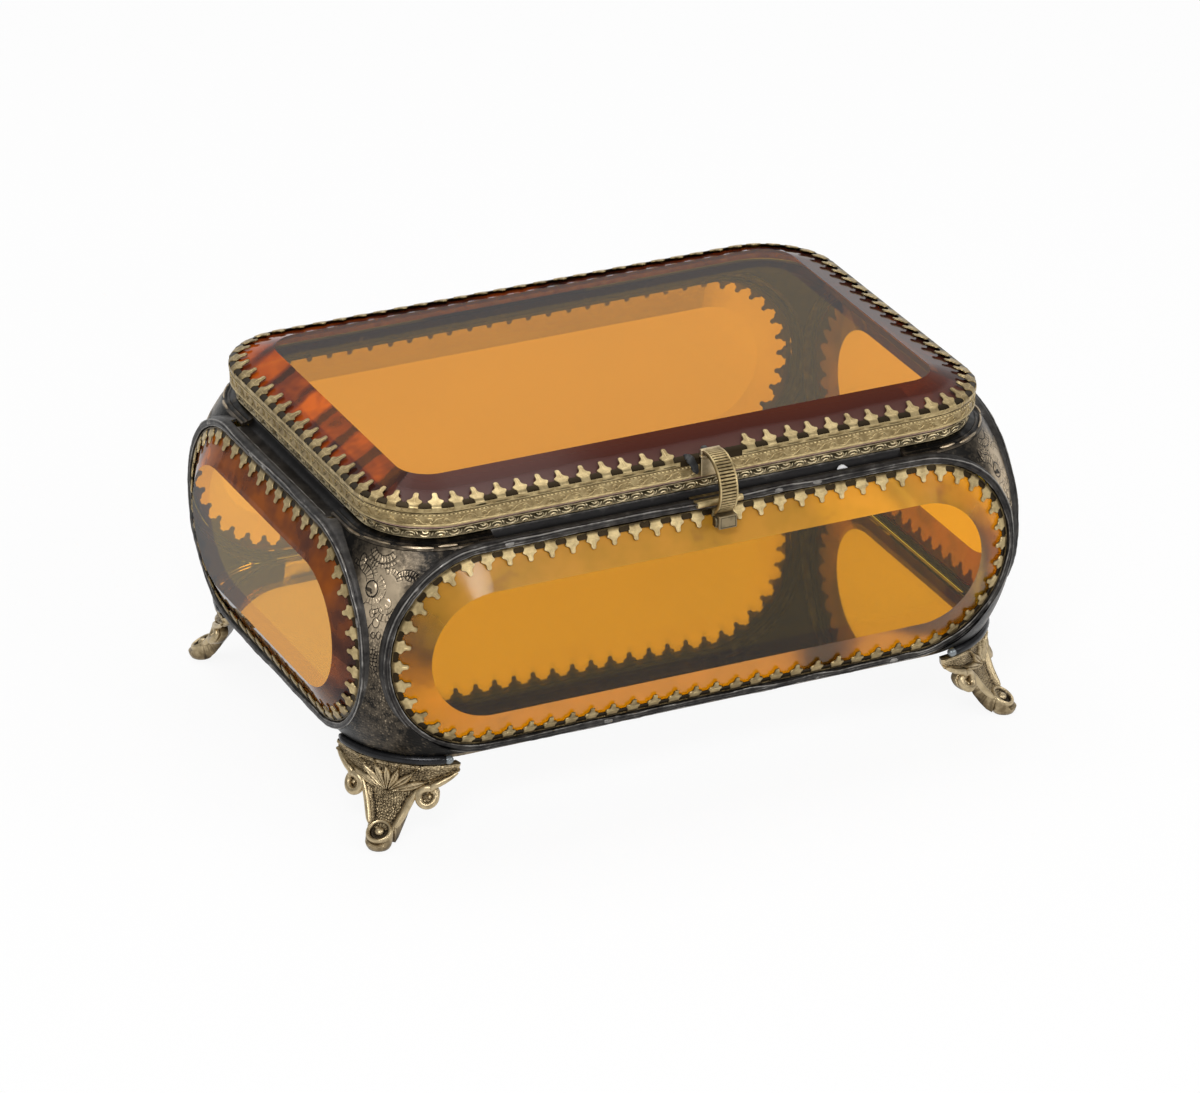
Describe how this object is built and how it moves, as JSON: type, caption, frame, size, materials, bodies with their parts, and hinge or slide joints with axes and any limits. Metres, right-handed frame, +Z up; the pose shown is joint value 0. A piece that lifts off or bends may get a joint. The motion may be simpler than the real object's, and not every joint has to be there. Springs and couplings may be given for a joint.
{
  "type": "glass casket box",
  "caption": "Bombe casket of bevelled amber glass panes in a brass gallery frame, on scroll feet, with a hinged glass lid and a sprung reeded clasp.",
  "frame": {"origin": "middle of the whole casket in plan, clasp included, at table height", "axes": "+X along the length, -Y the front with the clasp, +Z up"},
  "size_m": [0.1664, 0.1166, 0.0818],
  "materials": {
    "amber_glass": "clear, bevelled and polished",
    "brass": "aged, stamped",
    "dark_brass": "dark patina, worn on its high spots",
    "solder": "blackened",
    "mirror": "clear plate glass, silvered on its underside"
  },
  "bodies": {
    "casket": {"base_frame": "dark_brass", "bottom_mirror": "mirror", "body_rim": "dark_brass", "pillar_front_left": "dark_brass", "pillar_front_right": "dark_brass", "pillar_back_left": "dark_brass", "pillar_back_right": "dark_brass", "cove_front": "solder", "cove_back": "solder", "cove_left": "solder", "cove_right": "solder", "frame_front": "solder", "frame_back": "solder", "frame_left": "solder", "frame_right": "solder", "gallery_front": "brass", "gallery_back": "brass", "gallery_left": "brass", "gallery_right": "brass", "glass_front": "amber_glass", "glass_back": "amber_glass", "glass_left": "amber_glass", "glass_right": "amber_glass", "foot_bead_front_left": "solder", "foot_bead_front_right": "solder", "foot_bead_back_left": "solder", "foot_bead_back_right": "solder", "foot_front_left": "brass", "foot_front_right": "brass", "foot_back_left": "brass", "foot_back_right": "brass", "catch": "brass", "hinge_leaf_body": "dark_brass", "hinge_pin": "brass"},
    "lid": {"lid_gallery": "brass", "lid_frame": "dark_brass", "lid_glass": "amber_glass", "hinge_leaf_lid": "dark_brass", "clasp_plate": "brass"},
    "clasp": {"clasp_bow": "brass", "clasp_thumb": "brass"}
  },
  "joints": [
    {"name": "lid_hinge", "type": "hinge", "parent": "casket", "child": "lid", "pos_m": [0, 0.0536, 0.0735], "axis": [-1, 0, 0], "range_deg": [0, 105]},
    {"name": "clasp_flex", "type": "hinge", "parent": "lid", "child": "clasp", "pos_m": [0.0025, -0.04924, 0.08035], "axis": [-1, 0, 0], "range_deg": [0, 8], "stiffness_Nm_per_rad": 0.05}
  ]
}
